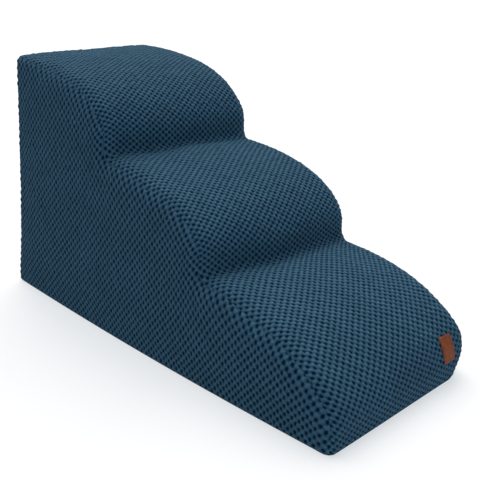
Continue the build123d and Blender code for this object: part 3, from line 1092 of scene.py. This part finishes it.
# Vegetable-tanned cowhide, drum-dyed cognac and waxed: a fine pebbled grain, darker between its pebbles.
def cognac_leather():
    material, node = new_material("cognac vegetable-tanned leather")
    place = node("TexCoord").outputs["Object"]
    grain = {"feature": "SMOOTH_F1"}
    pebble = node("TexVoronoi", grain, Vector=place, Scale=1 / (0.9 * mm), Smoothness=0.4)
    cloud = node("TexNoise", Vector=place, Scale=1 / (6 * mm), Detail=4.0)
    colour = node("ValToRGB", stops=((0.3, "#6b2f10"), (0.7, "#864119")), Fac=cloud)
    tone = node("MapRange", _0=pebble, _1=0.0, _2=0.8, _3=1.1, _4=0.75)
    shade = node("VectorMath", {"operation": "SCALE"}, _0=colour, Scale=tone)
    gloss = node("MapRange", _0=cloud, _1=0.3, _2=0.7, _3=0.5, _4=0.65)
    relief = node("Bump", {"invert": True}, Strength=0.35, Distance=0.15 * mm, Height=pebble)
    shader = node(
        "BsdfPrincipled",
        Base_Color=shade,
        Roughness=gloss,
        Normal=relief,
        Specular_IOR_Level=0.25,
    )
    node("OutputMaterial", Surface=shader)
    return material


def patch_edge(flat):
    """How far inside the patch's outline each point is."""
    over = abs(flat[:, :2] - patch_middle[:2]) - patch_half[:2] + patch_corner
    return patch_corner - np.minimum(over.max(axis=1), 0) - np.linalg.norm(np.maximum(over, 0), axis=1)


bm = bmesh.new()
bmesh.ops.create_grid(bm, x_segments=48, y_segments=66, size=0.5)
bmesh.ops.scale(bm, vec=(2 * patch_half.x + 2 * mm, 2 * patch_half.y + 2 * mm, 1), verts=bm.verts)
bmesh.ops.translate(bm, vec=patch_middle, verts=bm.verts)
trim(bm, patch_edge, patch_step)
flat = np.array([v.co for v in bm.verts])
inside = patch_edge(flat)
rounded_edge = edge_wear * (1 - np.sqrt(1 - np.clip(1 - inside / edge_wear_width, 0, 1) ** 2))
crease = crease_depth * np.exp(-(((inside - border_inset) / crease_width) ** 2))
points, facing = wrap_strip(flat)
under = settled(points) + facing * patch_lift
closed_panel(bm, under + facing * (patch_thickness - rounded_edge - crease)[:, None], under)
patch = mesh_piece("leather_patch", bm, cognac_leather())
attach(patch, "stairs")
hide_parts("label_patch")


# Patch stitching: one row all round, in dark brown bonded thread.
# It runs in the crease, through the leather and the cover.
patch_stitch = 2.3 * mm
patch_thread_width = 0.6 * mm
patch_thread_sink = 0.12 * mm
reach = patch_half - Vector((border_inset, border_inset, 0))
signs = ((-1, -1), (1, -1), (1, 1), (-1, 1))
corners = [patch_middle + Vector((x * reach.x, y * reach.y, 0)) for x, y in signs]
starts, ends = [], []
for corner, following in zip(corners, corners[1:] + corners[:1]):
    count = round((following - corner).length / (patch_stitch + stitch_gap))
    for k in range(count):
        starts.append(corner.lerp(following, (k + 0.1) / count))
        ends.append(corner.lerp(following, (k + 0.9) / count))
placed, outward = zip(*(wrap_strip(np.array(ends_of)) for ends_of in (starts, ends)))
level = patch_lift + patch_thickness - patch_thread_sink
starts, ends = ([Vector(p) for p in settled(p) + n * level] for p, n in zip(placed, outward))
bm = bmesh.new()
stitch_row(bm, starts, ends, [Vector(n) for n in outward[0]], patch_thread_width)
brown_thread = sewing_thread("dark brown bonded thread", "#1d0d06", "#43220f")
patch_stitches = mesh_piece("patch_stitches", bm, brown_thread)
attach(patch_stitches, "stairs")
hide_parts("label_stitching")


# Room: the camera at the photograph's angle, and a plain pale floor that glows a little, so that the shadow
# stays faint. The overhead light is soft and slightly warm, and the light from the front slightly cool.
eye_azimuth, eye_elevation = math.radians(-42.26), math.radians(20.31)
eye_distance = 1131.7 * mm
eye_target = Vector((32.6 * mm, 0, 109 * mm))
eye_focus_pixels = 862.5
picture_pixels = 480
ahead = Vector(
    (
        -math.sin(eye_azimuth) * math.cos(eye_elevation),
        math.cos(eye_azimuth) * math.cos(eye_elevation),
        -math.sin(eye_elevation),
    )
)
camera_data = bpy.data.cameras.new("camera")
camera_data.sensor_width = 36
camera_data.lens = eye_focus_pixels / picture_pixels * camera_data.sensor_width
camera = bpy.data.objects.new("camera", camera_data)
camera.location = eye_target - ahead * eye_distance
camera.rotation_euler = ahead.to_track_quat("-Z", "Y").to_euler()
bpy.context.scene.collection.objects.link(camera)
bpy.context.scene.camera = camera

floor_half_size = 30
floor_gap = 0.2 * mm
floor_bm = bmesh.new()
bmesh.ops.create_grid(floor_bm, x_segments=1, y_segments=1, size=floor_half_size)
floor_paint, node = new_material("pale studio floor")
floor_shader = node(
    "BsdfPrincipled",
    Base_Color=linear("#898989"),
    Roughness=0.9,
    Emission_Color=linear("#f6fbff"),
    Emission_Strength=0.62,
)
node("OutputMaterial", Surface=floor_shader)
floor = mesh_piece("floor", floor_bm, floor_paint)
floor.location.z = -floor_gap

for light_name, energy, colour, spread_degrees, direction in (
    ("overhead soft light", 5.2, "#fff5f0", 66, (-0.28, -0.47, -1)),
    ("front soft light", 0.9, "#f0f9ff", 60, (0.2, 0.9, -0.5)),
):
    lamp = bpy.data.lights.new(light_name, "SUN")
    lamp.energy = energy
    lamp.color = linear(colour)[:3]
    lamp.angle = math.radians(spread_degrees)
    light = bpy.data.objects.new(light_name, lamp)
    light.rotation_euler = Vector(direction).to_track_quat("-Z", "Y").to_euler()
    bpy.context.scene.collection.objects.link(light)
world = bpy.data.worlds.new("studio")
world.use_nodes = True
world.node_tree.nodes["Background"].inputs["Color"].default_value = linear("#e8f7ff")
world.node_tree.nodes["Background"].inputs["Strength"].default_value = 0.27
bpy.context.scene.world = world
bpy.context.scene.view_settings.view_transform = "Standard"
